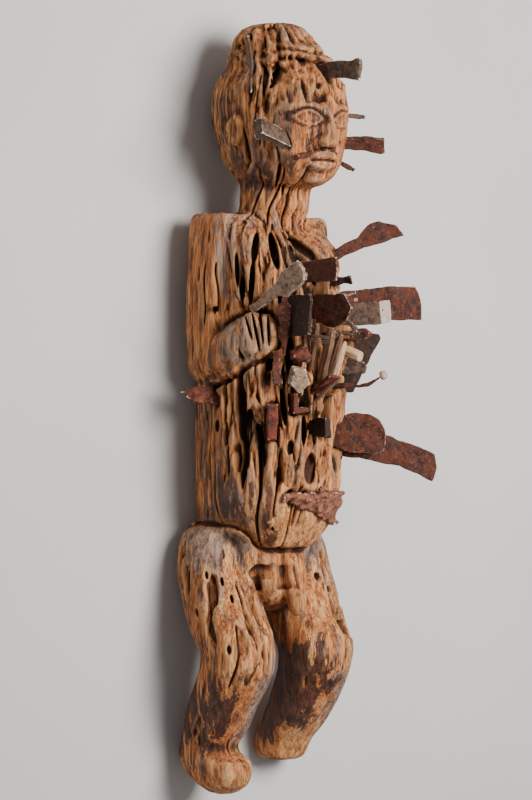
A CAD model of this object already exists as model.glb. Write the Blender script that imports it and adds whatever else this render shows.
"""The looks of a carved hardwood male figure, eroded along its grain, with driven iron and splints."""

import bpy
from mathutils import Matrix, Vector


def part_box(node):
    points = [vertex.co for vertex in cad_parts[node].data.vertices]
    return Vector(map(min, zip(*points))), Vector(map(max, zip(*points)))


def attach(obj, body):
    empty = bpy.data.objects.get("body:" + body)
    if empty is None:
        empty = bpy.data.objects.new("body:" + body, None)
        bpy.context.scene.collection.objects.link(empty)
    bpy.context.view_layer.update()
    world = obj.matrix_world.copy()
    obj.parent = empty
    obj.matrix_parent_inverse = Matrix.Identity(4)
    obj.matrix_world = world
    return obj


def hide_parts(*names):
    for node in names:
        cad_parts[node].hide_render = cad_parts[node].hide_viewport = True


bl_info = {
    "name": "Weathered Power Figure",
    "version": (1, 0, 0),
    "blender": (4, 5, 0),
    "location": "View3D > Sidebar > Figure",
    "description": "Carves, erodes, rusts and stages a wooden figure round its packed solids",
    "category": "Object",
}

import math

import bpy
import numpy as np
import openvdb
from bpy.props import FloatProperty, FloatVectorProperty, IntProperty, PointerProperty
from bpy.types import Operator, Panel, PropertyGroup
from mathutils import Matrix, Vector

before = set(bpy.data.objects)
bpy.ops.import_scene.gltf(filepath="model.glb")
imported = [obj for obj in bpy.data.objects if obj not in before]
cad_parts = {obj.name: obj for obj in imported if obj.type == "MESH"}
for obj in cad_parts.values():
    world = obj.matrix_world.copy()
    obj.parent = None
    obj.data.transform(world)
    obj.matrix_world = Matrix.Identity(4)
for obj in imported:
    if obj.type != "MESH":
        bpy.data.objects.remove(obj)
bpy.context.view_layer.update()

# The figure's own axes in the frame: its middle line, its sole and the depth of its back.
CARVING = "carved_figure"
CARVING_LOW, CARVING_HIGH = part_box(CARVING)
MIDDLE_X = (CARVING_LOW.x + CARVING_HIGH.x) / 2
SOLE_Y = CARVING_LOW.y
AXIS_Z = 0.078
MM = 0.001

# The carving is sampled more coarsely along its grain, which runs up the body.
GRAIN = 2.0
SAMPLES = np.array((1, GRAIN, 1), np.float32)

# Places along the body, in millimetres above the right foot's stub.
BELLY_LIP = 318
SHOULDER = 750
CHIN = 786
EYES = 868
CAP_RIM = 949


def figure_point(across, height, forward):
    """A point given in millimetres across, up and out of the figure, in the frame."""
    return Vector((MIDDLE_X + across * MM, SOLE_Y + height * MM, AXIS_Z + forward * MM))


# Smooth random fields


def spline_weights(samples, cells, wrap):
    """Cubic spline weights that spread a row of random cells over a row of samples."""
    place = np.linspace(0, cells, samples, endpoint=not wrap)
    base = np.floor(place).astype(int)
    t = place - base
    parts = ((1 - t) ** 3, 3 * t**3 - 6 * t**2 + 4, -3 * t**3 + 3 * t**2 + 3 * t + 1, t**3)
    columns = cells if wrap else cells + 4
    weights = np.zeros((samples, columns), np.float32)
    for step, part in enumerate(parts):
        np.add.at(weights, (np.arange(samples), (base + step) % columns), part / 6)
    return weights


def cloud(rng, samples, cells, wrap=()):
    """Smooth random values over a block of samples, with a mean of 0 and a spread of 1."""
    counts = [max(2, int(round(cell))) for cell in cells]
    weights = [spline_weights(n, c, axis in wrap) for axis, (n, c) in enumerate(zip(samples, counts))]
    values = rng.standard_normal([w.shape[1] for w in weights]).astype(np.float32)
    for axis, weight in enumerate(weights):
        values = np.moveaxis(np.tensordot(weight, values, (1, axis)), 0, axis)
    return (values - values.mean()) / values.std()


def ease(value, low, high):
    """A smooth step from 0 at low to 1 at high."""
    t = np.clip((value - low) / (high - low), 0, 1)
    return t * t * (3 - 2 * t)


def zone(value, low, high, soft):
    """1 between low and high, fading to 0 over a soft edge outside them."""
    return ease(value, low - soft, low) * (1 - ease(value, high, high + soft))


# Solids as distance fields


class Field:
    """Distances to a surface on a block of points: negative inside, positive outside."""

    def __init__(self, points, triangles, pitch, reach):
        self.pitch = pitch
        self.low = np.floor(points.min(0) / pitch).astype(int) - 4
        high = np.ceil(points.max(0) / pitch).astype(int) + 5
        transform = openvdb.createLinearTransform(voxelSize=pitch)
        grid = openvdb.FloatGrid.createLevelSetFromPolygons(
            points, triangles=triangles, transform=transform, halfWidth=reach / pitch
        )
        self.values = np.empty(high - self.low, np.float32)
        grid.copyToArray(self.values, ijk=tuple(int(i) for i in self.low))

    def axis(self, k):
        """The places of the samples along one axis."""
        return (self.low[k] + np.arange(self.values.shape[k])) * self.pitch

    def sample(self, points, values=None):
        """Values at any points, from the eight samples round each."""
        values = self.values if values is None else values
        place = points / self.pitch - self.low
        top = np.array(values.shape) - 2
        cell = np.clip(np.floor(place).astype(int), 0, top)
        t = np.clip(place - cell, 0, 1).astype(np.float32)
        result = np.zeros(len(points), np.float32)
        for corner in range(8):
            step = np.array([corner & 1, corner >> 1 & 1, corner >> 2 & 1])
            weight = np.prod(np.where(step, t, 1 - t), axis=1)
            at = cell + step
            result += weight * values[at[:, 0], at[:, 1], at[:, 2]]
        return result

    def polygons(self, coarseness=0.0):
        """The surface at distance 0, as points and triangles."""
        band = 3 * self.pitch
        grid = openvdb.FloatGrid(band)
        grid.transform = openvdb.createLinearTransform(voxelSize=self.pitch)
        grid.gridClass = openvdb.GridClass.LEVEL_SET
        grid.copyFromArray(np.clip(self.values, -band, band), ijk=tuple(int(i) for i in self.low))
        points, triangles, quads = grid.convertToPolygons(isovalue=0, adaptivity=coarseness)
        halves = [quads[:, [0, 1, 2]], quads[:, [0, 2, 3]]]
        return points, np.concatenate([triangles, *halves]).astype(np.int64)[:, ::-1]


def blurred(values, sigma):
    """Values smoothed by a bell of the given width, in samples."""
    radius = max(1, int(math.ceil(2.2 * sigma)))
    bell = np.exp(-0.5 * (np.arange(-radius, radius + 1) / sigma) ** 2)
    bell /= bell.sum()
    for axis in range(3):
        padding = [(radius, radius) if k == axis else (0, 0) for k in range(3)]
        padded = np.pad(values, padding, mode="edge")
        result = np.zeros_like(values)
        for step, weight in enumerate(bell):
            window = [slice(None)] * 3
            window[axis] = slice(step, step + values.shape[axis])
            result += np.float32(weight) * padded[tuple(window)]
        values = result
    return values


def node_mesh(node):
    """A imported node's points and triangles."""
    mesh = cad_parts[node].data
    mesh.calc_loop_triangles()
    points = np.empty(len(mesh.vertices) * 3, np.float32)
    mesh.vertices.foreach_get("co", points)
    triangles = np.empty(len(mesh.loop_triangles) * 3, np.int32)
    mesh.loop_triangles.foreach_get("vertices", triangles)
    return points.reshape(-1, 3), triangles.reshape(-1, 3)


def biggest_shell(points, triangles):
    """The largest connected shell of a mesh, without islands and sealed hollows."""
    label = np.arange(len(points))
    edges = np.concatenate([triangles[:, [0, 1]], triangles[:, [1, 2]]])
    while True:
        joined = np.minimum(label[edges[:, 0]], label[edges[:, 1]])
        fresh = label.copy()
        np.minimum.at(fresh, edges[:, 0], joined)
        np.minimum.at(fresh, edges[:, 1], joined)
        fresh = fresh[fresh]
        if np.array_equal(fresh, label):
            break
        label = fresh
    main = np.bincount(label[triangles[:, 0]]).argmax()
    kept = triangles[label[triangles[:, 0]] == main]
    used, index = np.unique(kept, return_inverse=True)
    return points[used], index.reshape(-1, 3)


def mesh_object(name, points, triangles):
    """A smooth-shaded object from points and triangles."""
    mesh = bpy.data.meshes.new(name)
    mesh.vertices.add(len(points))
    mesh.vertices.foreach_set("co", np.asarray(points, np.float32).ravel())
    mesh.loops.add(len(triangles) * 3)
    mesh.loops.foreach_set("vertex_index", np.asarray(triangles, np.int32).ravel())
    mesh.polygons.add(len(triangles))
    mesh.polygons.foreach_set("loop_start", np.arange(0, len(triangles) * 3, 3, dtype=np.int32))
    mesh.update(calc_edges=True)
    mesh.validate()
    mesh.shade_smooth()
    piece = bpy.data.objects.new(name, mesh)
    bpy.context.scene.collection.objects.link(piece)
    return piece


def thinned(piece, most):
    """Decimates a piece to a number of triangles."""
    count = len(piece.data.polygons)
    if count <= most:
        return piece
    modifier = piece.modifiers.new("thin", "DECIMATE")
    modifier.ratio = most / count
    modifier.use_collapse_triangulate = True
    bpy.context.view_layer.objects.active = piece
    with bpy.context.temp_override(object=piece, active_object=piece, selected_objects=[piece]):
        bpy.ops.object.modifier_apply(modifier=modifier.name)
    piece.data.shade_smooth()
    return piece


def vertices_of(piece):
    """A piece's points as an array."""
    points = np.empty(len(piece.data.vertices) * 3, np.float32)
    piece.data.vertices.foreach_get("co", points)
    return points.reshape(-1, 3)


def mark(piece, name, values):
    """Stores a value from 0 to 1 at each vertex."""
    attribute = piece.data.attributes.new(name, "FLOAT", "POINT")
    attribute.data.foreach_set("value", np.clip(values, 0, 1).astype(np.float32))


# Paint maps: values laid round a form by bearing, by depth under the skin and by height

BEARINGS = 900
LAYERS = 4
LAYER_DEPTH = 8 * MM


class Wrap:
    """A map wrapped round a form: bearing 0 is the front and 90 the figure's left."""

    def __init__(self, rng, heights, girths, centre_x, centres):
        self.rng = rng
        self.heights = heights
        self.rows = len(heights)
        girth = np.interp(heights, *zip(*girths))
        self.girth = girth.max()
        self.share = girth / self.girth
        self.radius = girth[None, None, :] / (2 * math.pi)
        self.centre_x = centre_x
        step = heights[1] - heights[0]
        bell = np.hanning(int(60 / step) | 1)
        line = np.pad(np.interp(heights, *zip(*centres)), len(bell) // 2, mode="edge")
        self.centre_z = np.convolve(line, bell / bell.sum(), mode="valid")
        turn = np.linspace(-180, 180, BEARINGS, endpoint=False)[:, None, None]
        self.bearing = turn / self.share[None, None, :]
        self.height = heights[None, None, :]
        ragged = cloud(rng, (BEARINGS, 1, self.rows), (self.girth / 7, 2, np.ptp(heights) / 110), wrap=(0,))
        self.frayed = self.height + 15 * ragged

    def streaks(self, across, along):
        """Random streaks along the grain, with the given size across and along it."""
        cells = (self.girth / across, 2, np.ptp(self.heights) / along)
        return cloud(self.rng, (BEARINGS, LAYERS, self.rows), cells, wrap=(0,))

    def apart(self, bearing):
        """How far each place of the map lies from a bearing, round the form."""
        turn = (self.bearing - bearing + 180) % 360 - 180
        return np.radians(turn) * self.radius

    def area(self, bearings, heights, soft=(10, 20), height=None):
        """1 over a patch of the form, with soft edges in degrees and in millimetres."""
        middle = (bearings[0] + bearings[1]) / 2
        turn = np.abs((self.bearing - middle + 180) % 360 - 180)
        reach = (bearings[1] - bearings[0]) / 2
        height = self.height if height is None else height
        return (1 - ease(turn, reach, reach + soft[0])) * zone(height, *heights, soft[1])

    def worn(self, zones):
        """The amounts of several kinds of wear over the form, from zones that overlap."""
        amounts = [0, 0, 0]
        for bearings, heights, soft, *levels in zones:
            here = self.area(bearings, heights, soft, self.frayed)
            amounts = [np.maximum(amount, level * here) for amount, level in zip(amounts, levels)]
        return amounts

    def crack(self, bearing, heights, width, depth, lean=0.0, wander=1.6):
        """A drying crack up the grain that wanders a little and closes at its ends."""
        middle = (heights[0] + heights[1]) / 2
        drift = cloud(self.rng, (1, 1, self.rows), (2, 2, np.ptp(self.heights) / 22))
        path = lean * (self.height - middle) + wander * drift
        ends = zone(self.height, *heights, 14)
        return depth * ends * np.exp(-(((self.apart(bearing) - path) / width) ** 2))

    def hole(self, bearing, height, half_across, half_along, depth):
        """An oval hole with steep sides."""
        far = np.hypot(self.apart(bearing) / half_across, (self.height - height) / half_along)
        return depth * (1 - ease(far, 0.7, 1.1))

    def meandered(self, values, reach, along):
        """The map pushed round the form to and fro, so that its streaks wander."""
        cells = (self.girth / 50, 2, np.ptp(self.heights) / along)
        push = cloud(self.rng, (BEARINGS, 1, self.rows), cells, wrap=(0,))
        place = np.arange(BEARINGS)[:, None, None] + push * reach * BEARINGS / self.girth
        base = np.floor(place).astype(int)
        part = (place - base).astype(np.float32)
        first = np.take_along_axis(values, base % BEARINGS, 0)
        second = np.take_along_axis(values, (base + 1) % BEARINGS, 0)
        return first + (second - first) * part

    def bearings_of(self, x, z, rows):
        """The map's bearings, in degrees, of points across and forward in given height rows."""
        return np.degrees(np.arctan2(x - self.centre_x, z - self.centre_z[rows])) * self.share[rows]

    def look_up(self, values, bearing, under, rows):
        """Map values at points, by bearing, depth under the skin in millimetres and height row."""
        turn = (bearing + 180) / 360 * BEARINGS
        first = np.floor(turn).astype(np.int64)
        turn_part = (turn - first).astype(np.float32)
        layer = np.clip(under / (LAYER_DEPTH / MM), 0, LAYERS - 1.001)
        top = layer.astype(np.int64)
        layer_part = (layer - top).astype(np.float32)
        flat = np.broadcast_to(values, (BEARINGS, LAYERS, self.rows)).reshape(-1)

        def at(turn_step, layer_step):
            return flat[((first + turn_step) % BEARINGS * LAYERS + top + layer_step) * self.rows + rows]

        near = at(0, 0) + (at(1, 0) - at(0, 0)) * turn_part
        deep = at(0, 1) + (at(1, 1) - at(0, 1)) * turn_part
        return near + (deep - near) * layer_part


def fissures(streaks, share, steepness=0.3):
    """How open the wood is: 0 on the ridges and 1 in the gaps, over a share of the surface."""
    edge = np.interp(share, (0, 0.02, 0.1, 0.3, 0.5, 0.7), (3.5, 2.05, 1.28, 0.52, 0.0, -0.52))
    return ease(streaks, edge - steepness * 0.4, edge + steepness)


def splits(streaks, width):
    """Narrow splits between long thin splinters: 1 along the lines where streaks change sign."""
    return np.exp(-((streaks / width) ** 2))


def body_erosion(wrap):
    """Millimetres of wood lost round the head, neck and trunk."""
    # Each zone: bearings, heights, softness, share of gaps, depth of gaps, depth of splits.
    share, gap, split = wrap.worn((
        ((-66, -8), (606, 728), (10, 12), 0.34, 20, 9),
        ((-8, 100), (606, 728), (14, 12), 0.50, 22, 10),
        ((-78, -16), (446, 616), (10, 24), 0.26, 15, 9),
        ((-16, 100), (432, 616), (14, 20), 0.44, 19, 10),
        ((-76, 96), (400, 450), (14, 16), 0.12, 10, 6),
        ((-76, -40), (606, 738), (6, 14), 0.17, 12, 6),
        ((-128, -74), (400, 590), (12, 24), 0.08, 6, 4),
        ((-66, 62), (886, 934), (10, 10), 0.24, 11, 7),
        ((-142, -50), (846, 942), (10, 16), 0.10, 7, 4.5),
        ((46, 112), (800, 905), (6, 14), 0.30, 11, 7),
        ((108, 236), (800, 940), (12, 16), 0.05, 5, 3.5),
        ((-42, -29), (796, 868), (4, 10), 0.55, 14, 6),
        ((-180, 180), (744, 794), (1, 8), 0.05, 6, 2.5),
        ((-56, 60), (968, 1004), (8, 4), 0.30, 9, 6),
        ((-180, 180), (950, 1004), (1, 4), 0.12, 6, 4),
        ((100, 256), (340, 740), (16, 24), 0.03, 4, 2.0),
        ((-180, 180), (326, 950), (1, 8), 0.012, 4, 0.7),
    ))
    face = wrap.area((-36, 36), (CHIN + 4, 884), (6, 6))
    calm = 1 - face
    share, gap, split = share * calm, gap * calm, split * calm
    upper = ease(wrap.height, 590, 640) * (1 - ease(wrap.height, 740, 790))
    wide = wrap.streaks(13, 80)
    slim = wrap.streaks(8.5, 52)
    gone = wrap.meandered((wide * (0.35 + 0.65 * upper) + slim * (0.85 - 0.35 * upper)) / 0.98, 3, 55)
    lobes = wrap.meandered(wrap.streaks(10, 80), 3, 55)
    strips = wrap.meandered(wrap.streaks(6.4, 60), 3, 45)
    walls = lobes * upper + strips * (1 - upper)
    hairs = wrap.meandered(wrap.streaks(3.6, 38), 2, 40)
    rough = np.clip(split / 8, 0, 1)
    flakes = fissures(wrap.streaks(6, 20), 0.42, 0.14) + 0.7 * fissures(wrap.streaks(4.2, 13), 0.35, 0.14)

    lost = gap * fissures(gone, share) * (0.75 + 0.2 * np.clip(slim, -1.5, 1.5))
    lost = np.maximum(lost, split * splits(walls, 0.26) * (0.7 + 0.3 * np.clip(wide, -1.5, 1.5)))
    shreds = wrap.meandered(wrap.streaks(4.4, 34), 2, 40)
    lost = lost + rough * (1.5 + 1.2 * np.tanh(3 * walls) + 0.9 * hairs + 1.3 * flakes + 3.6 * splits(shreds, 0.24))
    wrap.rough = np.broadcast_to(rough, lost.shape)
    lost = lost + 0.25 * calm * (1 + hairs) + 0.6 * (1 - face) * wrap.streaks(16, 24)

    # Insect holes, and the belly's drying cracks.
    pits = wrap.streaks(3.4, 9)
    lost += 4 * fissures(pits, 0.006 + 0.012 * rough) * calm
    lost += wrap.crack(-49, (318, 470), 1.6, 17, lean=-0.02)
    lost += wrap.crack(-17, (322, 372), 1.1, 7, lean=0.13)
    lost += wrap.crack(-86, (322, 420), 1.2, 8, lean=-0.12)
    lost += wrap.crack(-33, (366, 436), 1.0, 6, lean=0.02)
    lost += wrap.crack(18, (336, 380), 0.9, 5, lean=0.1)
    lost += wrap.crack(140, (330, 640), 1.4, 8, lean=0.02)
    lost += wrap.crack(179, (736, 1000), 1.6, 8, wander=0.6)
    for bearing in (-66, -38, -12, 8, 32, 96, 160, -150):
        lost += wrap.crack(bearing, (742, 800), 1.3, 8, lean=0.03)
    return lost


def limb_erosion(wrap, zones, across=4.6, along=20):
    """Millimetres of wood lost round a limb: short slits in worn zones, little elsewhere."""
    share, gap, split = wrap.worn(zones)
    gone = wrap.meandered(wrap.streaks(across, along), 1.5, 40)
    walls = wrap.meandered(wrap.streaks(6, 50), 2, 40)
    hairs = wrap.streaks(3.6, 34)
    wrap.rough = np.clip(share * 4, 0, 1)
    lost = gap * fissures(gone, share, 0.4) + split * splits(walls, 0.2)
    flakes = fissures(wrap.streaks(5, 16), 0.35, 0.16)
    lost = lost + np.clip(split / 4, 0.1, 0.8) * (1 + hairs + 0.8 * flakes) + 0.5 * wrap.streaks(16, 22)
    return lost


def right_leg_erosion(wrap):
    """The right leg: a front full of slits, a smooth shin and a stub of a foot."""
    lost = limb_erosion(wrap, (
        ((-135, 45), (176, 306), (14, 14), 0.14, 7, 1.6),
        ((-180, 180), (60, 330), (1, 20), 0.025, 3, 0.4),
    ))
    for bearing, heights, depth, lean in (
        (-8, (196, 262), 9, 0), (12, (170, 236), 8, 0.05), (-30, (150, 214), 7, 0.06), (22, (214, 250), 6, 0.02),
    ):
        lost += wrap.crack(bearing, heights, 1.2, depth, lean)
    for bearing, height in ((-62, 284), (-36, 276), (-24, 254), (8, 204), (-40, 190), (-86, 236)):
        lost += wrap.hole(bearing, height, 2.4, 6.0, 7)
    return lost


def left_leg_erosion(wrap):
    """The left leg: one large hole, a broken stretch on the outside, smooth below."""
    lost = limb_erosion(wrap, (
        ((14, 95), (160, 292), (10, 16), 0.24, 9, 4),
        ((-180, 180), (70, 330), (1, 20), 0.02, 3, 0.4),
    ), 6, 26)
    lost += wrap.hole(-4, 279, 6.5, 5.5, 11)
    lost += wrap.crack(22, (168, 252), 1.4, 9, lean=0.16)
    for bearing, height in ((4, 266), (20, 262), (36, 244), (26, 176)):
        lost += wrap.hole(bearing, height, 2.4, 5.0, 7)
    return lost


def arm_erosion(wrap):
    """An arm: a few slits and long cracks."""
    lost = limb_erosion(wrap, (((-180, 180), (540, 740), (1, 8), 0.035, 5, 0.9),), 4.6, 30)
    for bearing in (-58, -24, 20, 74, 150):
        start = wrap.rng.uniform(570, 660)
        lost += wrap.crack(bearing, (start, start + wrap.rng.uniform(30, 70)), 1.1, 6, wrap.rng.uniform(-0.05, 0.05))
    return lost


def near_path(points, path):
    """Distance from points to a line through given places, in millimetres."""
    best = np.full(len(points), 1e6, np.float32)
    for start, end in zip(path[:-1], path[1:]):
        start, end = np.array(start, np.float32), np.array(end, np.float32)
        way = end - start
        share = np.clip((points - start) @ way / (way @ way), 0, 1)
        best = np.minimum(best, np.linalg.norm(points - start - share[:, None] * way, axis=1))
    return best


def carve_cap(wrap):
    """Relief of the cap: two worn ledges in front, a pitted knob behind, and crumbled teeth under the rim."""
    ledge = wrap.streaks(14, 26)[:, :1]
    level = wrap.height + 2.2 * ledge
    front = wrap.area((-52, 50), (940, 976), (10, 3))
    relief = np.zeros((BEARINGS, 1, wrap.rows), np.float32)
    for height, out, tall in ((948, 6.0, 4.2), (963, 4.5, 4.6)):
        step = np.exp(-(((level - height) / tall) ** 2)) - 0.8 * np.exp(-(((level - height + 7.5) / 3.2) ** 2))
        relief = relief + out * step * front
    for bearing, width in ((-38, 2.2), (-19, 3.0), (11, 2.2), (31, 2.8)):
        notch = np.exp(-((wrap.apart(bearing) / width) ** 2))
        relief = relief - 6 * notch * wrap.area((-50, 48), (954, 984), (8, 6), wrap.frayed)
    teeth = wrap.streaks(6.5, 13)
    crumbled = wrap.area((-58, 56), (916, 940), (8, 5), wrap.frayed * 0.6 + wrap.height * 0.4)
    relief = relief - crumbled * (1.5 + 7 * ease(teeth, -0.1, 0.5))
    knob = wrap.area((-176, -50), (950, 1000), (8, 6))
    relief = relief + knob * 1.6 * wrap.streaks(7, 7)
    for _ in range(70):
        bearing = wrap.rng.uniform(-175, -52)
        height = wrap.rng.uniform(948, 992)
        size = wrap.rng.uniform(1.8, 3.4)
        relief = relief - wrap.hole(bearing, height, size, size, wrap.rng.uniform(2.5, 4.5))
    return -relief


def carve_face(across, height, forward):
    """Relief of a calm, plain face on even proportions, outward in millimetres."""
    relief = np.zeros_like(across)
    for side in (-1, 1):
        u = (across - side * 28.5) / 0.95
        v = height - EYES - 0.06 * side * u
        almond = np.hypot(u / 16.5, v / (8.4 * (1 - 0.3 * np.clip(u / 16.5, -1, 1) ** 2)))
        relief += 2.0 * np.exp(-(((almond - 1.05) / 0.17) ** 2))
        relief -= 3.0 * np.exp(-(((almond - 1.5) / 0.2) ** 2)) * ease(v, -14, 2)
        relief -= 1.5 * np.exp(-(((almond - 1.42) / 0.16) ** 2)) * (1 - ease(v, -14, 2))
        relief -= 0.9 * np.exp(-(((almond - 0.78) / 0.12) ** 2))
        iris = np.hypot(u, v)
        relief -= 0.8 * np.exp(-(((iris - 4.4) / 1.0) ** 2))
        wing = np.hypot((across - side * 9.5) / 8.5, (height - EYES + 31) / 9.5)
        relief += 1.6 * np.exp(-((wing / 0.75) ** 2))
        relief -= 1.8 * np.exp(-(((wing - 1.15) / 0.17) ** 2)) * ease(side * across, 8, 13)
        nostril = np.hypot((across - side * 6.5) / 3.6, (height - EYES + 38.5) / 2.6)
        relief -= 5.0 * (1 - ease(nostril, 0.6, 1.25))
        fold = np.abs(side * across - 21 - 0.25 * (EYES - 40 - height))
        relief -= 1.1 * np.exp(-((fold / 2.2) ** 2)) * zone(height, EYES - 56, EYES - 36, 6)
    seam = height - (CHIN + 29.5) + 0.0022 * across**2
    relief -= 4.2 * np.exp(-((seam / 1.7) ** 2)) * (1 - ease(np.abs(across), 17, 24))
    outline = np.hypot(across / 25, seam / 12.5)
    relief += 1.3 * np.exp(-(((outline - 0.9) / 0.12) ** 2))
    relief -= 1.3 * np.exp(-(((outline - 1.18) / 0.14) ** 2))
    groove = np.exp(-((across / 2.8) ** 2)) * zone(height, CHIN + 42, CHIN + 47, 3)
    return relief - 1.3 * groove


def lip_height(across):
    """The height of the belly's lower edge, which rises round the hips."""
    return BELLY_LIP + 34 * ease(np.abs(across), 26, 84)


def forms(settings, heights):
    """The maps' wrappings: the body, the two legs and the two arms."""
    rng = np.random.default_rng(settings.seed)
    trunk = [
        (300, 2), (380, 4), (500, 13), (640, 13), (700, 6), (745, -2), (765, 14), (800, 30), (930, 27), (1000, 14),
    ]
    girths = [(300, 590), (738, 590), (756, 300), (790, 300), (815, 430), (935, 450), (970, 400), (1004, 330)]
    right = [(0, -14), (62, -26), (112, -8), (182, 10), (230, 0), (290, -15), (360, -20)]
    left = [(30, -34), (62, -30), (112, -8), (182, 10), (230, 0), (290, -15), (360, -20)]
    arm = [(500, -17), (800, -17)]
    leg_girths, arm_girths = [(0, 280), (400, 280)], [(0, 210), (800, 210)]
    return (
        Wrap(rng, heights, girths, 0, trunk), Wrap(rng, heights, leg_girths, -68, right),
        Wrap(rng, heights, leg_girths, 68, left), Wrap(rng, heights, arm_girths, -78, arm),
        Wrap(rng, heights, arm_girths, 78, arm),
    )


def arm_share(x, y, z):
    """How far a point belongs to an arm: 1 in it and 0 clear of it."""
    side = np.sign(x)
    spots = np.stack([np.abs(x), y, z], 1)
    upper = near_path(spots, [(74, 752, -15), (78, 640, -17), (79, 545, -18)])
    fore = near_path(spots, [(80, 556, -18), (84, 566, 20), (84, 582, 46), (74, 592, 66)])
    arm = ease(side * x, 76, 84) * (y > 530) * (1 - ease(upper, 34, 44))
    return np.maximum(arm, 1 - ease(fore, 27, 32)), fore


def pierced(x, y, z):
    """Loss at the holes that show in front, each at a place across the view and up the figure."""
    turn = math.radians(40)
    across = x * math.cos(turn) + z * math.sin(turn)
    facing = z * math.cos(turn) - x * math.sin(turn) > 10
    lost = np.zeros_like(x)
    for place, height, half, tall, lean, depth in (
        (-65, 626, 3.4, 3.8, 0, 15), (5, 554, 5.5, 9, 0.1, 22), (8, 344, 1.8, 2.4, 0, 6),
        (-37, 676, 3.2, 22, -0.04, 15), (-30, 653, 3.6, 17, 0.02, 16), (-14, 704, 5, 22, 0.1, 18),
        (10, 700, 6, 26, -0.2, 21), (36, 690, 5, 24, -0.3, 18), (58, 676, 5, 20, -0.2, 18),
        (-18, 660, 4, 30, 0.06, 18), (56, 420, 8, 22, 0.05, 12), (31, 448, 4.5, 10, 0.1, 14),
        (22, 500, 4, 26, -0.12, 18), (62, 486, 3.6, 34, 0.02, 17), (-62, 476, 2.6, 9, 0, 8),
        (-22, 436, 2.2, 16, 0.05, 9), (30, 566, 6, 26, 0.05, 20), (48, 470, 3.5, 22, 0, 14),
        (-22, 600, 1.7, 16, -0.28, 7), (-13, 595, 1.8, 26, -0.2, 9), (-6, 602, 1.6, 24, -0.1, 8), (3, 598, 1.8, 22, -0.03, 9),
    ):
        rise = y - height
        far = np.hypot((across - place - lean * rise) / half, rise / tall)
        lost = np.maximum(lost, depth * facing * (1 - ease(far, 0.72, 1.12)))
    return lost


def carved_form(settings):
    """The carving's distance field before and after the wood is lost, in metres, and its maps."""
    pitch = settings.sample
    points, triangles = node_mesh(CARVING)
    field = Field(points / SAMPLES, triangles, pitch, settings.reach)
    along = np.gradient(field.values, pitch, axis=1)
    field.values /= np.sqrt(1 - (1 - GRAIN**-2) * np.clip(along, -1, 1) ** 2)
    field.values = blurred(field.values, settings.softening / pitch)
    base = field.values.copy()

    across, height, forward = (
        (field.axis(k) * SAMPLES[k] - origin) / MM for k, origin in enumerate((MIDDLE_X, SOLE_Y, AXIS_Z))
    )
    wraps = forms(settings, height)
    body, right, left, right_arm, left_arm = wraps
    maps = [
        body_erosion(body) + carve_cap(body), right_leg_erosion(right), left_leg_erosion(left),
        arm_erosion(right_arm), arm_erosion(left_arm),
    ]
    maps = [values.astype(np.float32) for values in maps]

    near = (base > -settings.reach * 0.98) & (base < 9 * MM)
    i, j, k = np.nonzero(near)
    x, y, z = (axis[index].astype(np.float32) for axis, index in ((across, i), (height, j), (forward, k)))
    under = np.maximum(-base[near] / MM, 0)
    lost = np.zeros(len(x), np.float32)

    def add(form, here, share=1):
        bearing = wraps[form].bearings_of(x[here], z[here], j[here])
        found = wraps[form].look_up(maps[form], bearing, under[here], j[here])
        lost[here] += share * (found - lost[here])

    lip = lip_height(x)
    low = y < lip
    add(0, ~low)
    add(1, low & (x < 0))
    add(2, low & (x >= 0))
    armed = (np.abs(x) > 44) & (y > 520) & (y < 765)
    share, fore = arm_share(x[armed], y[armed], z[armed])
    lost[armed] += 8 * np.exp(-(((fore - 34) / 3.2) ** 2)) * (z[armed] > -4)
    share_all = np.zeros(len(x), np.float32)
    share_all[armed] = share
    for form, here in ((3, (share_all > 0) & (x < 0)), (4, (share_all > 0) & (x > 0))):
        add(form, here, share_all[here])
    lost += 5 * np.exp(-(((y - lip + 3) / 3.0) ** 2)) * (z > -40) * (y > 300)
    lost = np.maximum(lost, pierced(x, y, z))
    face = (z > 66) & (y > CHIN - 4) & (y < EYES + 24) & (np.abs(x) < 62)
    lost[face] -= carve_face(x[face], y[face], z[face])
    field.values[near] += lost * MM
    return field, base, wraps


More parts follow.
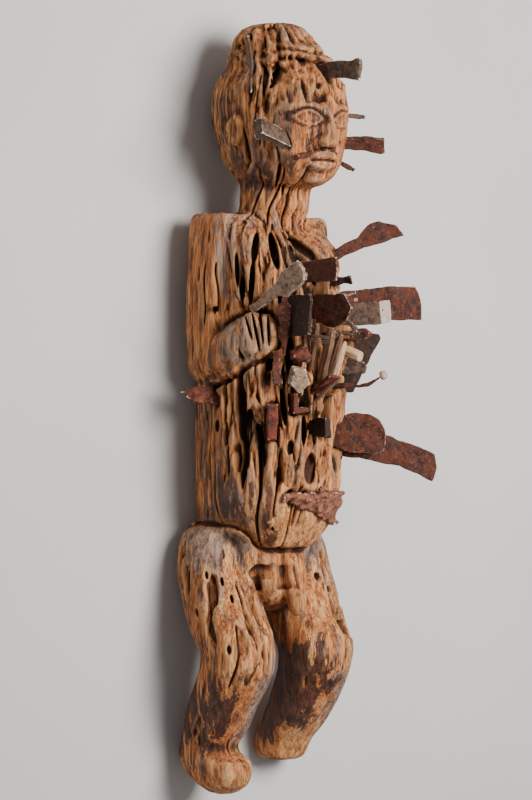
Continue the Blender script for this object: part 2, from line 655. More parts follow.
def tones(wraps):
    """Where old grey skin, dark patina and fresh wood lie, by bearing and height on each form."""
    patches = (
        (  # grey skin
            (((-74, -20), (640, 752), 0.75), ((-72, -50), (540, 650), 0.6), ((-84, 60), (380, 600), 0.4),
             ((-60, 60), (950, 1000), 0.45), ((-8, 24), (790, 880), 0.3), ((20, 100), (700, 760), 0.4)),
            (((-120, 20), (300, 350), 0.75), ((20, 90), (70, 150), 0.7)),
            (((-20, 90), (280, 345), 0.85), ((10, 90), (90, 170), 0.6)),
        ),
        (  # dark patina
            (((-78, -36), (334, 384), 0.75), ((-135, -88), (330, 520), 0.6), ((-112, -40), (796, 862), 0.7),
             ((-60, 50), (318, 324), 0.5), ((-30, 30), (790, 905), 0.35), ((-130, -60), (862, 930), 0.45),
             ((120, 240), (318, 940), 0.5), ((-50, 60), (890, 935), 0.5)),
            (((-150, -30), (76, 150), 0.62), ((-60, 60), (5, 40), 0.3), ((120, 240), (40, 330), 0.5)),
            (((-130, -30), (80, 180), 0.85), ((-30, 20), (110, 160), 0.5), ((120, 240), (40, 330), 0.5)),
        ),
        (  # fresh wood
            (((-26, 60), (324, 392), 0.7), ((-52, -40), (330, 380), 0.4), ((-60, 60), (946, 990), 0.3)),
            (((-180, 180), (0, 40), 0.45), ((-60, 40), (190, 290), 0.5)),
            (((-60, 90), (20, 46), 1.0), ((-30, 30), (56, 96), 0.6), ((-30, 20), (190, 260), 0.5)),
        ),
    )
    found = []
    for kind in patches:
        maps = []
        for wrap, areas in zip(wraps, kind):
            total = np.zeros((BEARINGS, 1, wrap.rows), np.float32)
            for bearings, heights, amount in areas:
                total = np.maximum(total, amount * wrap.area(bearings, heights, (30, 40), wrap.frayed))
            maps.append(total)
        found.append(maps)
    return found


# Driven pieces


def own_axes(points):
    """A piece's middle and its own axes, longest first and pointing out of the figure."""
    middle = (points.min(0) + points.max(0)) / 2
    _, _, axes = np.linalg.svd(points - points.mean(0), full_matrices=False)
    out = middle - np.array((MIDDLE_X, middle[1], AXIS_Z))
    if axes[0] @ out < 0:
        axes[0] = -axes[0]
    axes[2] = np.cross(axes[0], axes[1])
    return middle, axes.astype(np.float32)


class Surface:
    """How a driven piece is weathered: sizes in metres."""

    def __init__(self, dent=0.0004, pit=0.0004, pit_size=0.0022, crust=0.0, along=1.0, soften=0.6):
        self.dent = dent
        self.pit = pit
        self.pit_size = pit_size
        self.crust = crust
        self.along = along
        self.soften = soften


def weathered(node, surface, slot, settings, rng):
    """A driven piece with rounded arrises, dents and pits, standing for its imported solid."""
    points, triangles = node_mesh(node)
    middle, axes = own_axes(points)
    local = (points - middle) @ axes.T
    pitch = settings.sample
    field = Field(local.astype(np.float32), triangles, pitch, 6 * pitch)
    size = np.array(field.values.shape) * pitch

    def grit(cell):
        cells = size / cell
        cells[0] /= surface.along
        return cloud(rng, field.values.shape, cells)

    field.values = blurred(field.values, surface.soften)
    field.values += surface.dent * grit(0.011) + 0.4 * surface.dent * grit(0.005)
    field.values += surface.pit * ease(grit(surface.pit_size), 0.5, 1.6)
    if surface.crust:
        field.values -= surface.crust * ease(grit(0.0045), -0.4, 1.4)
    found, faces = biggest_shell(*field.polygons())
    piece = mesh_object(node.replace("_", " ").title().replace(" ", ""), found, faces)
    thinned(piece, settings.triangles)

    rounded = blurred(np.clip(field.values, -2 * MM, 2 * MM), 1.5 * MM / pitch)
    found = vertices_of(piece)
    soft = field.sample(found, rounded)
    mark(piece, "arris", ease(soft, *np.percentile(soft, (62, 98))))
    mark(piece, "reach", (found[:, 0] - found[:, 0].min()) / np.ptp(found[:, 0]))
    fibre = piece.data.attributes.new("fibre", "FLOAT_VECTOR", "POINT")
    fibre.data.foreach_set("vector", (found[:, [1, 0, 2]] + middle).astype(np.float32).ravel())
    world = found @ axes + middle
    piece.data.vertices.foreach_set("co", world.astype(np.float32).ravel())
    piece.data.update()
    return placed(piece, slot, node)


def placed(piece, slot, *nodes):
    """Rides a piece on the figure's one body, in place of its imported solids."""
    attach(piece, "root")
    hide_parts(*nodes)
    return piece


def cord_tube(path, radius, sides=6):
    """Points and triangles of a closed loop of cord."""
    count = len(path)
    ahead = np.roll(path, -1, 0) - np.roll(path, 1, 0)
    ahead /= np.linalg.norm(ahead, axis=1)[:, None]
    out = path - path.mean(0)
    side = np.cross(ahead, out)
    side /= np.linalg.norm(side, axis=1)[:, None]
    over = np.cross(side, ahead)
    turn = np.linspace(0, 2 * math.pi, sides, endpoint=False)
    ring = np.cos(turn)[None, :, None] * side[:, None] + np.sin(turn)[None, :, None] * over[:, None]
    points = (path[:, None] + radius * ring).reshape(-1, 3)
    i, s = np.meshgrid(np.arange(count), np.arange(sides), indexing="ij")
    a, b = i * sides + s, i * sides + (s + 1) % sides
    c, d = (i + 1) % count * sides + (s + 1) % sides, (i + 1) % count * sides + s
    quads = np.stack([a, b, c, d], -1).reshape(-1, 4)
    return points, np.concatenate([quads[:, [0, 1, 2]], quads[:, [0, 2, 3]]])


def wound_lashing(node, settings, rng):
    """Turns of thin cord wound round two splints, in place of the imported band."""
    points, _ = node_mesh(node)
    middle, axes = own_axes(points)
    local = (points - middle) @ axes.T
    half = np.ptp(local, axis=0) / 2
    along = int(np.argmin(half))
    wide, deep = (k for k in range(3) if k != along)
    turn = np.linspace(0, 2 * math.pi, 72, endpoint=False)
    built, faces, count = [], [], 0
    for lap in range(settings.turns):
        level = (lap + 0.5) / settings.turns * 2 - 1
        path = np.zeros((len(turn), 3))
        path[:, wide] = np.sign(np.cos(turn)) * np.abs(np.cos(turn)) ** 0.8 * half[wide]
        path[:, deep] = np.sign(np.sin(turn)) * np.abs(np.sin(turn)) ** 0.8 * half[deep]
        slant = 0.9 * half[along] * np.sin(turn + rng.uniform(0, 6))
        path[:, along] = level * half[along] * 1.5 + slant
        loop, ring = cord_tube(path @ axes + middle, settings.cord / 2)
        built.append(loop)
        faces.append(ring + count)
        count += len(loop)
    piece = mesh_object("BundleLashing", np.concatenate(built), np.concatenate(faces))
    found = vertices_of(piece)
    mark(piece, "arris", np.full(len(found), 0.3))
    mark(piece, "reach", np.zeros(len(found)))
    return placed(piece, "lashing", node)


# Materials


def linear(red, green, blue):
    """A colour given as it looks on a screen, from 0 to 255, as light."""
    def one(value):
        value /= 255
        return value / 12.92 if value < 0.04045 else ((value + 0.055) / 1.055) ** 2.4
    return (one(red), one(green), one(blue), 1.0)


class Graph:
    """Adds shader nodes to a tree and links them."""

    def __init__(self, tree):
        self.tree = tree
        tree.nodes.clear()

    def add(self, kind, outlet=0, settings=(), **inputs):
        node = self.tree.nodes.new(kind)
        for name, value in dict(settings).items():
            setattr(node, name, value)
        for name, value in inputs.items():
            key = int(name[1:]) if name[0] == "_" and name[1:].isdigit() else name.replace("_", " ")
            self.plug(node.inputs[key], value)
        self.last = node
        return node.outputs[outlet] if node.outputs else node

    def plug(self, socket, value):
        if isinstance(value, bpy.types.NodeSocket):
            self.tree.links.new(value, socket)
        else:
            socket.default_value = value

    def attribute(self, name, outlet="Fac"):
        return self.add("ShaderNodeAttribute", outlet, {"attribute_name": name})

    def math(self, operation, a, b=0.0, clamp=False):
        return self.add("ShaderNodeMath", 0, {"operation": operation, "use_clamp": clamp}, _0=a, _1=b)

    def noise(self, vector, scale, detail=3.0, roughness=0.55, warp=0.0):
        return self.add("ShaderNodeTexNoise", "Fac", Vector=vector, Scale=scale, Detail=detail,
                        Roughness=roughness, Distortion=warp)

    def stretched(self, vector, by):
        return self.add("ShaderNodeVectorMath", 0, {"operation": "MULTIPLY"}, _0=vector, _1=by)

    def ease(self, value, low, high, to_low=0.0, to_high=1.0):
        return self.add("ShaderNodeMapRange", 0, {"interpolation_type": "SMOOTHSTEP"}, Value=value,
                        From_Min=low, From_Max=high, To_Min=to_low, To_Max=to_high)

    def blend(self, share, first, second, mode="MIX"):
        node = self.tree.nodes.new("ShaderNodeMix")
        node.data_type = "RGBA"
        node.blend_type = mode
        for index, value in ((0, share), (6, first), (7, second)):
            self.plug(node.inputs[index], value)
        return node.outputs[2]

    def ramp(self, value, *stops):
        node = self.tree.nodes.new("ShaderNodeValToRGB")
        self.plug(node.inputs[0], value)
        while len(node.color_ramp.elements) < len(stops):
            node.color_ramp.elements.new(0.5)
        for element, (place, colour) in zip(node.color_ramp.elements, stops):
            element.position = place
            element.color = colour
        return node.outputs[0]


def new_group(name, inputs, outputs):
    """An empty shader group with named sockets, and its graph."""
    group = bpy.data.node_groups.new(name, "ShaderNodeTree")
    for label, kind, default in inputs:
        socket = group.interface.new_socket(label, in_out="INPUT", socket_type=kind)
        if default is not None:
            socket.default_value = default
    for label, kind in outputs:
        group.interface.new_socket(label, in_out="OUTPUT", socket_type=kind)
    graph = Graph(group)
    graph.given = group.nodes.new("NodeGroupInput").outputs
    graph.result = group.nodes.new("NodeGroupOutput").inputs
    return group, graph


FLOAT, COLOUR, VECTOR = "NodeSocketFloat", "NodeSocketColor", "NodeSocketVector"


def grain_group():
    """Wood grain: fine fibres, broad streaks, thin dark splits, and height for a bump."""
    group, g = new_group(
        "Grain", [("Place", VECTOR, None), ("Fineness", FLOAT, 1.0)],
        [("Fibres", FLOAT), ("Streaks", FLOAT), ("Splits", FLOAT), ("Height", FLOAT)],
    )

    def along(stretch, scale, detail, roughness, warp):
        place = g.stretched(g.given["Place"], (1.0, stretch, 1.0))
        return g.noise(place, g.math("MULTIPLY", g.given["Fineness"], scale), detail, roughness, warp)

    fibres = along(0.05, 900.0, 3.0, 0.6, 0.6)
    streaks = along(0.1, 140.0, 5.0, 0.66, 0.5)
    wander = along(0.06, 250.0, 3.0, 0.6, 0.4)
    pores = along(0.12, 480.0, 2.0, 0.6, 0.2)
    line = g.math("ABSOLUTE", g.math("SUBTRACT", wander, 0.5))
    splits = g.math("MULTIPLY", g.ease(line, 0.004, 0.045, 1.0, 0.0), g.ease(streaks, 0.42, 0.6, 1.0, 0.25))
    splits = g.math("MAXIMUM", splits, g.ease(pores, 0.64, 0.7))
    height = g.math("SUBTRACT", g.math("MULTIPLY", fibres, 0.6), splits)
    for name, value in (("Fibres", fibres), ("Streaks", streaks), ("Splits", splits), ("Height", height)):
        g.plug(g.result[name], value)
    return group


def patches_group():
    """Patches with ragged edges drawn out along the grain, where a share of a skin is left."""
    group, g = new_group(
        "Patches", [("Place", VECTOR, None), ("Share", FLOAT, 0.5), ("Size", FLOAT, 60.0)], [("Mask", FLOAT)]
    )
    cloudy = g.noise(g.stretched(g.given["Place"], (1.0, 0.28, 1.0)), g.given["Size"], 5.0, 0.66, 0.3)
    fingers = g.noise(g.stretched(g.given["Place"], (1.0, 0.08, 1.0)), 150.0, 3.0, 0.6)
    mixed = g.math("ADD", g.math("MULTIPLY", cloudy, 0.62), g.math("MULTIPLY", fingers, 0.38))
    level = g.math("SUBTRACT", 0.68, g.math("MULTIPLY", g.given["Share"], 0.36))
    g.plug(g.result["Mask"], g.ease(g.math("SUBTRACT", mixed, level), -0.01, 0.018))
    return group


def rust_group():
    """Rusted iron: colour, roughness and height of scale and pits."""
    group, g = new_group(
        "Rust",
        [("Place", VECTOR, None), ("Dark", COLOUR, (0.02, 0.01, 0.008, 1)), ("Middle", COLOUR, (0.08, 0.03, 0.015, 1)),
         ("Bright", COLOUR, (0.25, 0.09, 0.03, 1)), ("Grain", FLOAT, 1.0)],
        [("Color", COLOUR), ("Roughness", FLOAT), ("Height", FLOAT)],
    )
    blotches = g.noise(g.given["Place"], g.math("MULTIPLY", g.given["Grain"], 110.0), 6.0, 0.65, 0.4)
    speckle = g.noise(g.given["Place"], g.math("MULTIPLY", g.given["Grain"], 620.0), 4.0, 0.6)
    bloom = g.noise(g.given["Place"], g.math("MULTIPLY", g.given["Grain"], 230.0), 5.0, 0.7, 0.8)
    colour = g.blend(g.ease(blotches, 0.38, 0.6), g.given["Dark"], g.given["Middle"])
    colour = g.blend(g.ease(bloom, 0.53, 0.68), colour, g.given["Bright"])
    colour = g.blend(g.ease(speckle, 0.56, 0.72, 0.0, 0.55), colour, g.given["Dark"])
    g.plug(g.result["Color"], colour)
    g.plug(g.result["Roughness"], g.ease(blotches, 0.35, 0.65, 0.62, 0.9))
    g.plug(g.result["Height"], g.math("ADD", g.math("MULTIPLY", speckle, 0.5), g.math("MULTIPLY", bloom, 0.5)))
    return group


def wear_group():
    """Rubbed arrises: a mask that breaks up along the edge."""
    group, g = new_group(
        "Edge Wear", [("Place", VECTOR, None), ("Arris", FLOAT, 0.0), ("Amount", FLOAT, 0.5)], [("Mask", FLOAT)]
    )
    broken = g.noise(g.given["Place"], 260.0, 4.0, 0.6)
    total = g.math("ADD", g.given["Arris"], g.math("MULTIPLY", g.math("SUBTRACT", broken, 0.5), 1.1))
    level = g.math("SUBTRACT", 1.15, g.given["Amount"])
    g.plug(g.result["Mask"], g.ease(g.math("SUBTRACT", total, level), -0.08, 0.16))
    return group


def grouped(g, group, **inputs):
    """Places a shader group in a material's graph."""
    node = g.tree.nodes.new("ShaderNodeGroup")
    node.node_tree = bpy.data.node_groups[group]
    for name, value in inputs.items():
        g.plug(node.inputs[name], value)
    return node.outputs


def finished(g, colour, roughness, height, distance, metallic=0.0, specular=0.35):
    """Ends a material's graph in a shader with a bump."""
    bump = g.add("ShaderNodeBump", "Normal", Strength=1.0, Distance=distance, Height=height)
    shader = g.tree.nodes.new("ShaderNodeBsdfPrincipled")
    shader.inputs["Metallic"].default_value = metallic
    shader.inputs["Specular IOR Level"].default_value = specular
    for name, value in (("Base Color", colour), ("Roughness", roughness), ("Normal", bump)):
        g.plug(shader.inputs[name], value)
    out = g.tree.nodes.new("ShaderNodeOutputMaterial")
    g.tree.links.new(shader.outputs[0], out.inputs[0])


def new_material(name):
    material = bpy.data.materials.new(name)
    material.use_nodes = True
    return material, Graph(material.node_tree)


def carving_material():
    """Weathered hardwood: tan ridges, near-black gaps, and old grey and brown skin where it is left."""
    material, g = new_material("weathered wood")
    place = g.add("ShaderNodeTexCoord", "Object")
    eaten, ridge, worn = g.attribute("eaten"), g.attribute("ridge"), g.attribute("worn")
    grey, dark, bare = g.attribute("grey"), g.attribute("dark"), g.attribute("fresh")
    grain = grouped(g, "Grain", Place=place, Fineness=1.0)

    def left(share, size, within=None, amount=1.0):
        mask = g.math("MULTIPLY", grouped(g, "Patches", Place=place, Share=share, Size=size)["Mask"], amount)
        return g.math("MULTIPLY", mask, within) if within else mask

    tone = g.math("ADD", g.math("MULTIPLY", grain["Streaks"], 0.72), g.math("MULTIPLY", grain["Fibres"], 0.28))
    fresh = g.ramp(tone, (0.32, linear(98, 50, 26)), (0.44, linear(164, 94, 50)), (0.54, linear(198, 126, 72)),
                   (0.68, linear(226, 166, 106)))
    old = g.ramp(tone, (0.34, linear(62, 38, 27)), (0.47, linear(118, 82, 60)), (0.57, linear(150, 113, 86)),
                 (0.68, linear(182, 146, 118)))
    brown = g.ramp(tone, (0.36, linear(34, 19, 13)), (0.5, linear(82, 48, 34)), (0.64, linear(118, 74, 52)))
    ashen = g.ramp(tone, (0.36, linear(92, 70, 58)), (0.5, linear(146, 116, 98)), (0.64, linear(182, 154, 136)))

    tops = g.ease(eaten, 0.14, 0.34, 1.0, 0.0)
    skin = g.ease(eaten, 0.05, 0.18, 1.0, 0.0)
    weathered = g.math("ADD", 0.32, g.math("MULTIPLY", worn, 0.26))
    colour = g.blend(left(weathered, 70.0, tops, 0.85), fresh, old)
    colour = g.blend(left(0.36, 34.0, tops, 0.6), colour, brown)
    dark_left = left(dark, 42.0, skin)
    colour = g.blend(dark_left, colour, brown)
    colour = g.blend(left(grey, 55.0, skin), colour, ashen)
    pale = g.ramp(tone, (0.34, linear(150, 88, 46)), (0.46, linear(202, 134, 78)), (0.6, linear(232, 178, 122)))
    colour = g.blend(left(bare, 48.0, tops, 0.8), colour, pale)

    hollow = g.ease(ridge, 0.24, 0.5, 1.0, 0.0)
    deep = g.ease(eaten, 0.28, 0.7)
    soil = g.math("MAXIMUM", g.math("MULTIPLY", hollow, 0.85), g.math("MULTIPLY", deep, 0.92))
    colour = g.blend(soil, colour, linear(24, 11, 6))
    lines = g.math("MULTIPLY", grain["Splits"], g.math("ADD", 0.3, g.math("MULTIPLY", worn, 0.5)))
    colour = g.blend(lines, colour, linear(40, 20, 11))
    crest = g.math("MULTIPLY", g.ease(ridge, 0.56, 0.72), 0.35)
    colour = g.blend(crest, colour, linear(222, 168, 116))
    height = g.math("ADD", grain["Height"], g.math("MULTIPLY", dark_left, 0.2))
    roughness = g.ease(dark_left, 0.0, 1.0, 0.8, 0.5)
    finished(g, colour, roughness, height, 0.0014)
    return material


def splint_material(name, light):
    """Split wood, grey-brown or pale, with its grain along the splint."""
    material, g = new_material(name)
    place = g.attribute("fibre", "Vector")
    grain = grouped(g, "Grain", Place=place, Fineness=1.2)
    tone = g.math("ADD", g.math("MULTIPLY", grain["Streaks"], 0.6), g.math("MULTIPLY", grain["Fibres"], 0.4))
    stops = [(0.32, (52, 34, 24)), (0.48, (118, 86, 64)), (0.64, (160, 124, 98))]
    if light:
        stops = [(0.32, (150, 98, 60)), (0.46, (212, 166, 122)), (0.62, (240, 208, 172))]
    colour = g.ramp(tone, *((at, linear(*shade)) for at, shade in stops))
    worn = grouped(g, "Edge Wear", Place=place, Arris=g.attribute("arris"), Amount=0.35)["Mask"]
    colour = g.blend(g.math("MULTIPLY", worn, 0.4), colour, linear(214, 176, 140))
    finished(g, colour, 0.75, grain["Height"], 0.0008)
    return material


def iron_material(name, dark, middle, bright, edge, wear, grain=1.0, pale_end=None, relief=0.0007):
    """Forged iron under rust, rubbed at its arrises."""
    material, g = new_material(name)
    place = g.add("ShaderNodeTexCoord", "Object")
    rust = grouped(g, "Rust", Place=place, Dark=linear(*dark), Middle=linear(*middle),
                   Bright=linear(*bright), Grain=grain)
    worn = grouped(g, "Edge Wear", Place=place, Arris=g.attribute("arris"), Amount=wear)["Mask"]
    colour = g.blend(worn, rust["Color"], linear(*edge))
    if pale_end:
        end = g.math("ADD", g.attribute("reach"), g.math("MULTIPLY", g.noise(place, 300.0), 0.03))
        colour = g.blend(g.ease(end, pale_end, pale_end + 0.012), colour, linear(206, 186, 176))
    roughness = g.math("SUBTRACT", rust["Roughness"], g.math("MULTIPLY", worn, 0.25), clamp=True)
    finished(g, colour, roughness, rust["Height"], relief, metallic=0.15, specular=0.4)
    return material


def cord_material():
    """Dark twisted fibre."""
    material, g = new_material("fibre cord")
    place = g.add("ShaderNodeTexCoord", "Object")
    strands = g.noise(place, 1400.0, 2.0)
    colour = g.ramp(strands, (0.35, linear(38, 26, 18)), (0.65, linear(104, 82, 62)))
    finished(g, colour, 0.9, strands, 0.0004)
    return material


def knob_material():
    """A smooth pinkish-beige knob."""
    material, g = new_material("pale knob")
    tone = g.noise(g.add("ShaderNodeTexCoord", "Object"), 420.0, 3.0)
    colour = g.ramp(tone, (0.35, linear(150, 112, 98)), (0.6, linear(202, 168, 152)))
    finished(g, colour, 0.6, tone, 0.0002)
    return material


def floor_material():
    """A plain pale floor."""
    material, g = new_material("pale floor")
    tone = g.noise(g.add("ShaderNodeTexCoord", "Object"), 3.0, 2.0)
    colour = g.ramp(tone, (0.3, linear(206, 205, 203)), (0.7, linear(212, 211, 209)))
    finished(g, colour, 0.85, tone, 0.0001, specular=0.2)
    return material


# Settings


class CarvingSettings(PropertyGroup):
    """Sizes of the carving's mesh and of its erosion."""

    sample: FloatProperty(
        name="Sample", description="Spacing of the points the wood is carved on", default=1.25 * MM,
        min=0.8 * MM, max=4 * MM, unit="LENGTH", precision=5,
    )
    reach: FloatProperty(
        name="Reach", description="Deepest loss of wood under the old surface", default=26 * MM,
        min=5 * MM, max=40 * MM, unit="LENGTH",
    )
    softening: FloatProperty(
        name="Softening", description="How far carved arrises are rounded", default=2.0 * MM,
        min=0, max=8 * MM, unit="LENGTH",
    )
    triangles: IntProperty(
        name="Triangles", description="Most triangles in the carving", default=196000, min=20000, max=199000
    )
    seed: IntProperty(name="Seed", description="Chooses the pattern of the erosion", default=11)


class DrivenSettings(PropertyGroup):
    """Sizes of the driven pieces' meshes."""

    sample: FloatProperty(
        name="Sample", description="Spacing of the points a driven piece is forged on", default=0.6 * MM,
        min=0.3 * MM, max=2 * MM, unit="LENGTH", precision=5,
    )
    triangles: IntProperty(
        name="Triangles", description="Most triangles in one driven piece", default=9000, min=500, max=60000
    )
    turns: IntProperty(name="Turns", description="Turns of cord round the splints", default=5, min=1, max=12)
    cord: FloatProperty(
        name="Cord", description="Diameter of the lashing's cord", default=1.3 * MM,
        min=0.5 * MM, max=4 * MM, unit="LENGTH", precision=5,
    )
    seed: IntProperty(name="Seed", description="Chooses the dents and pits", default=5)


class StageSettings(PropertyGroup):
    """The camera's distance and the lights."""

    distance: FloatProperty(
        name="Distance", description="From the camera to the figure's middle line", default=4.6,
        min=1, max=20, unit="LENGTH",
    )
    framed: FloatProperty(
        name="Framed Height", description="Length of the figure's line that fills the frame", default=1.043,
        min=0.2, max=5, unit="LENGTH",
    )
    turn: FloatProperty(
        name="Turn", description="How far the camera stands round to the figure's right",
        default=math.radians(40), subtype="ANGLE",
    )
    level: FloatProperty(
        name="Level", description="Height on the figure that the camera faces", default=0.445, unit="LENGTH"
    )
    lift: FloatProperty(
        name="Lift", description="How far above that level the frame's middle is", default=0.065, unit="LENGTH"
    )
    key: FloatProperty(name="Key", description="Power of the main light", default=84, min=0, unit="POWER")
    side: FloatProperty(name="Side", description="Power of the side light", default=42, min=0, unit="POWER")
    fill: FloatProperty(name="Fill", description="Strength of the light from all round", default=0.28, min=0)
    tint: FloatVectorProperty(
        name="Side Tint", description="Colour of the side light", default=(1.0, 0.88, 0.78),
        min=0, max=1, subtype="COLOR",
    )


# Operators


class FIGURE_OT_groups(Operator):
    """Build the shader groups that the materials share"""

    bl_idname = "figure.groups"
    bl_label = "Build Shader Groups"

    def execute(self, context):
        for build in (grain_group, patches_group, rust_group, wear_group):
            build()
        return {"FINISHED"}


class FIGURE_OT_carving(Operator):
    """Carve and erode the wooden figure"""

    bl_idname = "figure.carving"
    bl_label = "Carve Figure"

    def execute(self, context):
        settings = context.scene.figure_carving
        field, base, wraps = carved_form(settings)
        points, triangles = biggest_shell(*field.polygons())
        piece = thinned(mesh_object("CarvedFigure", points * SAMPLES, triangles), settings.triangles)
        found = vertices_of(piece)
        rounded = blurred(np.clip(field.values, -3 * MM, 3 * MM), 2.2)
        mark(piece, "eaten", -field.sample(found / SAMPLES, base) / (16 * MM))
        mark(piece, "ridge", 0.5 + field.sample(found / SAMPLES, rounded) / (3 * MM))
        x, y, z = ((found[:, k] - origin) / MM for k, origin in enumerate((MIDDLE_X, SOLE_Y, AXIS_Z)))
        heights = wraps[0].heights
        rows = np.clip(np.round((y - heights[0]) / (heights[1] - heights[0])).astype(int), 0, len(heights) - 1)
        low = y < lip_height(x)
        shares = (~low, low & (x < 0), low & (x >= 0))
        rough = [wrap.rough for wrap in wraps[:3]]
        for name, maps in zip(("grey", "dark", "fresh", "worn"), (*tones(wraps), rough)):
            value = np.zeros(len(found), np.float32)
            for wrap, values, here in zip(wraps, maps, shares):
                bearing = wrap.bearings_of(x[here], z[here], rows[here])
                value[here] = wrap.look_up(values, bearing, 0 * bearing, rows[here])
            mark(piece, name, value)
        piece.data.materials.append(carving_material())
        placed(piece, "wood", CARVING)
        return {"FINISHED"}


RUST = dict(dark=(44, 24, 18), middle=(94, 50, 34), bright=(140, 72, 42), edge=(170, 142, 128))
DARK = dict(dark=(28, 18, 14), middle=(58, 36, 26), bright=(98, 52, 34), edge=(140, 116, 102))
GREY = dict(dark=(58, 44, 36), middle=(102, 82, 68), bright=(124, 84, 60), edge=(206, 190, 180))
PALE = dict(dark=(104, 82, 66), middle=(164, 138, 114), bright=(122, 76, 52), edge=(222, 206, 194))

# Each driven piece of iron: its node, finish and surface.
PLATE = Surface()
FORGED = Surface(dent=0.0006, pit=0.0003)
PITTED = Surface(dent=0.0006, pit=0.0011, pit_size=0.0028)
CRUSTED = Surface(dent=0.0012, pit=0.0009, pit_size=0.003, crust=0.0016)
IRONS = {
    "head": (
        ("forehead_bar", "worn iron", FORGED), ("temple_leaf_blade", "worn iron", PLATE),
        ("cheek_chisel", "worn iron", FORGED), ("temple_nail", "worn iron", FORGED),
        ("cheek_wedge", "rusty iron", FORGED), ("jaw_nail", "rusty iron", FORGED),
        ("cheek_nail", "rusty iron", FORGED),
    ),
    "chest": (
        ("shoulder_fan_blade", "rusty iron", PLATE), ("pitted_flared_bar", "pitted iron", PITTED),
        ("square_plate", "rusty iron", PLATE), ("breast_chip", "dark iron", FORGED),
        ("leaf_spike", "rusty iron", PLATE), ("broad_blade", "dark iron", PLATE),
        ("clipped_plate", "rusty iron", PLATE), ("folded_strap", "bright strap", FORGED),
        ("holed_plate", "banded iron", PLATE), ("large_blade", "rusty iron", PLATE),
        ("breast_nail", "pitted iron", FORGED), ("hooked_bar", "rusty iron", FORGED),
        ("bundle_wrap", "red iron", FORGED), ("coiled_strip", "rusty iron", FORGED),
        ("triangular_blade", "dark iron", PLATE), ("small_pale_plate", "worn iron", PLATE),
        ("curved_nail", "rusty iron", FORGED), ("pale_wedge", "pitted iron", PITTED),
        ("crumpled_lump", "red iron", CRUSTED),
    ),
    "belly": (
        ("thick_plate", "red iron", FORGED), ("angle_bracket", "rusty iron", FORGED),
        ("short_bar", "dark iron", FORGED), ("rounded_blade", "rusty iron", PLATE),
        ("long_curved_blade", "rusty iron", PLATE), ("elbow_plate", "red iron", CRUSTED),
        ("belly_strip", "crusted iron", CRUSTED),
    ),
}
IRON_FINISHES = {
    "rusty iron": ("rust_iron", dict(RUST, wear=0.42)),
    "red iron": ("rust_iron", dict(RUST, middle=(116, 54, 38), bright=(152, 84, 60), wear=0.25)),
    "dark iron": ("dark_iron", dict(DARK, wear=0.35)),
    "worn iron": ("grey_iron", dict(GREY, wear=0.6)),
    "banded iron": ("grey_iron", dict(GREY, wear=0.5, pale_end=0.84)),
    "pitted iron": ("pitted_iron", dict(PALE, wear=0.45, grain=1.4)),
    "bright strap": ("pitted_iron", dict(GREY, wear=0.8)),
    "crusted iron": ("rust_iron", dict(
        dark=(86, 48, 36), middle=(150, 96, 72), bright=(186, 132, 104), edge=(214, 178, 156), wear=0.35, grain=1.5)),
}


def build_irons(group, settings):
    """Forges one group of driven iron pieces."""
    rng = np.random.default_rng(settings.seed + len(group))
    for node, finish, surface in IRONS[group]:
        slot, look = IRON_FINISHES[finish]
        piece = weathered(node, surface, slot, settings, rng)
        material = bpy.data.materials.get(finish) or iron_material(finish, **look)
        piece.data.materials.append(material)


class FIGURE_OT_head_irons(Operator):
    """Forge the irons driven into the head"""

    bl_idname = "figure.head_irons"
    bl_label = "Forge Head Irons"

    def execute(self, context):
        build_irons("head", context.scene.figure_driven)
        return {"FINISHED"}


class FIGURE_OT_chest_irons(Operator):
    """Forge the irons driven into the chest"""

    bl_idname = "figure.chest_irons"
    bl_label = "Forge Chest Irons"

    def execute(self, context):
        build_irons("chest", context.scene.figure_driven)
        return {"FINISHED"}


class FIGURE_OT_belly_irons(Operator):
    """Forge the irons driven into the belly and at the elbow"""

    bl_idname = "figure.belly_irons"
    bl_label = "Forge Belly Irons"

    def execute(self, context):
        build_irons("belly", context.scene.figure_driven)
        return {"FINISHED"}


SPLIT = Surface(dent=0.0006, pit=0.0006, pit_size=0.0022, along=7.0, soften=0.5)
SPLINTS = (
    ("splint_broad", "wood", "split wood"), ("splint_left", "wood", "split wood"),
    ("splint_right", "wood", "split wood"), ("thin_splinter", "wood", "split wood"),
    ("splint_pale", "pale_wood", "pale wood"), ("round_peg", "pale_wood", "pale wood"),
)


class FIGURE_OT_splints(Operator):
    """Split the wooden splints and the peg driven into the chest"""

    bl_idname = "figure.splints"
    bl_label = "Split Splints"

    def execute(self, context):
        settings = context.scene.figure_driven
        rng = np.random.default_rng(settings.seed + 31)
        for node, slot, finish in SPLINTS:
            piece = weathered(node, SPLIT, slot, settings, rng)
            found = bpy.data.materials.get(finish)
            piece.data.materials.append(found or splint_material(finish, slot == "pale_wood"))
        return {"FINISHED"}


class FIGURE_OT_lashing(Operator):
    """Wind the cord that ties the splints"""

    bl_idname = "figure.lashing"
    bl_label = "Wind Lashing"

    def execute(self, context):
        settings = context.scene.figure_driven
        rng = np.random.default_rng(settings.seed + 47)
        piece = wound_lashing("bundle_lashing", settings, rng)
        piece.data.materials.append(cord_material())
        return {"FINISHED"}


class FIGURE_OT_knob(Operator):
    """Round the pale knob on the curved nail"""

    bl_idname = "figure.knob"
    bl_label = "Round Knob"

    def execute(self, context):
        settings = context.scene.figure_driven
        rng = np.random.default_rng(settings.seed + 59)
        smooth = Surface(dent=0.0001, pit=0.0001, soften=1.6)
        piece = weathered("nail_knob", smooth, "knob", settings, rng)
        piece.data.materials.append(knob_material())
        return {"FINISHED"}


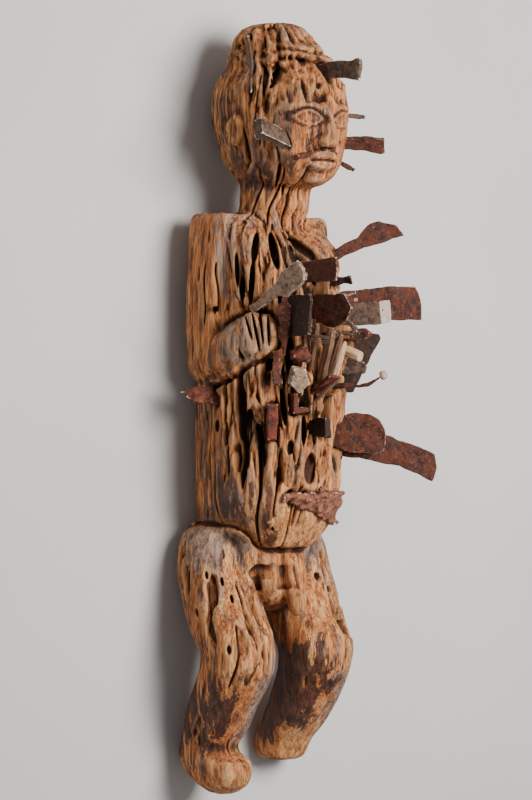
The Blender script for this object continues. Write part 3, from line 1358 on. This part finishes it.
class FIGURE_OT_stage(Operator):
    """Set the pale floor, the soft lights and the camera"""

    bl_idname = "figure.stage"
    bl_label = "Set Stage"

    def execute(self, context):
        settings = context.scene.figure_stage
        toward = Vector((-math.sin(settings.turn), 0, math.cos(settings.turn)))
        right = Vector((math.cos(settings.turn), 0, math.sin(settings.turn)))
        set_floor()
        set_camera(settings, toward, right)
        middle = figure_point(0, 500, 0)
        set_light("KeyLight", middle + 1.5 * right + 1.3 * toward + Vector((0, 0.5, 0)), middle,
                  settings.key, 1.1, (1, 0.95, 0.93))
        set_light("SideLight", middle - 1.7 * right + 0.35 * toward, middle,
                  settings.side, 0.9, settings.tint)
        world = bpy.data.worlds.new("soft studio")
        context.scene.world = world
        world.use_nodes = True
        world.node_tree.nodes["Background"].inputs["Color"].default_value = (1, 1, 1, 1)
        world.node_tree.nodes["Background"].inputs["Strength"].default_value = settings.fill
        return {"FINISHED"}


def set_floor():
    """A plain pale floor under the figure."""
    mesh = bpy.data.meshes.new("Floor")
    half = 6.0
    corners = [(-half, -half, 0), (half, -half, 0), (half, half, 0), (-half, half, 0)]
    mesh.from_pydata(corners, [], [(0, 1, 2, 3)])
    floor = bpy.data.objects.new("Floor", mesh)
    bpy.context.scene.collection.objects.link(floor)
    floor.data.materials.append(floor_material())


def set_camera(settings, toward, right):
    """Looks down on the lying figure from its right, with its head at the top of the frame."""
    camera = bpy.data.objects.new("Camera", bpy.data.cameras.new("Camera"))
    bpy.context.scene.collection.objects.link(camera)
    up = toward.cross(right)
    spot = figure_point(0, settings.level / MM, 0) + settings.distance * toward
    camera.matrix_world = Matrix.Translation(spot) @ Matrix((right, up, toward)).transposed().to_4x4()
    lens = camera.data
    lens.sensor_fit = "VERTICAL"
    lens.sensor_height = 36
    lens.lens = 36 * settings.distance / settings.framed
    lens.shift_y = settings.lift / settings.framed
    lens.clip_end = 30
    bpy.context.scene.camera = camera


def set_light(name, spot, target, power, size, colour):
    """A soft square light that faces a point."""
    light = bpy.data.lights.new(name, "AREA")
    light.size = size
    light.energy = power
    light.color = colour
    lamp = bpy.data.objects.new(name, light)
    lamp.location = spot
    lamp.rotation_euler = (target - spot).to_track_quat("-Z", "Y").to_euler()
    bpy.context.scene.collection.objects.link(lamp)


# Panel


OPERATORS = (
    FIGURE_OT_groups,
    FIGURE_OT_carving,
    FIGURE_OT_head_irons,
    FIGURE_OT_chest_irons,
    FIGURE_OT_belly_irons,
    FIGURE_OT_splints,
    FIGURE_OT_lashing,
    FIGURE_OT_knob,
    FIGURE_OT_stage,
)
GROUPS = {
    "figure_carving": CarvingSettings,
    "figure_driven": DrivenSettings,
    "figure_stage": StageSettings,
}


class FIGURE_PT_figure(Panel):
    """Steps and settings of the figure"""

    bl_idname = "FIGURE_PT_figure"
    bl_label = "Figure"
    bl_space_type = "VIEW_3D"
    bl_region_type = "UI"
    bl_category = "Figure"

    def draw(self, context):
        for step in ("groups", "carving", "head_irons", "chest_irons", "belly_irons",
                     "splints", "lashing", "knob", "stage"):
            self.layout.operator("figure." + step)
        for name in GROUPS:
            box = self.layout.box()
            settings = getattr(context.scene, name)
            for prop in settings.__annotations__:
                box.prop(settings, prop)


def register():
    """Registers the settings, the operators and the panel."""
    for made in (*GROUPS.values(), *OPERATORS, FIGURE_PT_figure):
        bpy.utils.register_class(made)
    for name, group in GROUPS.items():
        setattr(bpy.types.Scene, name, PointerProperty(type=group))


def unregister():
    """Takes away what register added."""
    for name in GROUPS:
        delattr(bpy.types.Scene, name)
    for made in (FIGURE_PT_figure, *reversed(OPERATORS), *reversed(GROUPS.values())):
        bpy.utils.unregister_class(made)


def main():
    register()
    bpy.ops.figure.stage()
    bpy.ops.figure.groups()
    bpy.ops.figure.carving()
    bpy.ops.figure.head_irons()
    bpy.ops.figure.chest_irons()
    bpy.ops.figure.belly_irons()
    bpy.ops.figure.splints()
    bpy.ops.figure.lashing()
    bpy.ops.figure.knob()
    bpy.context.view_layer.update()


if __name__ == "__main__":
    main()
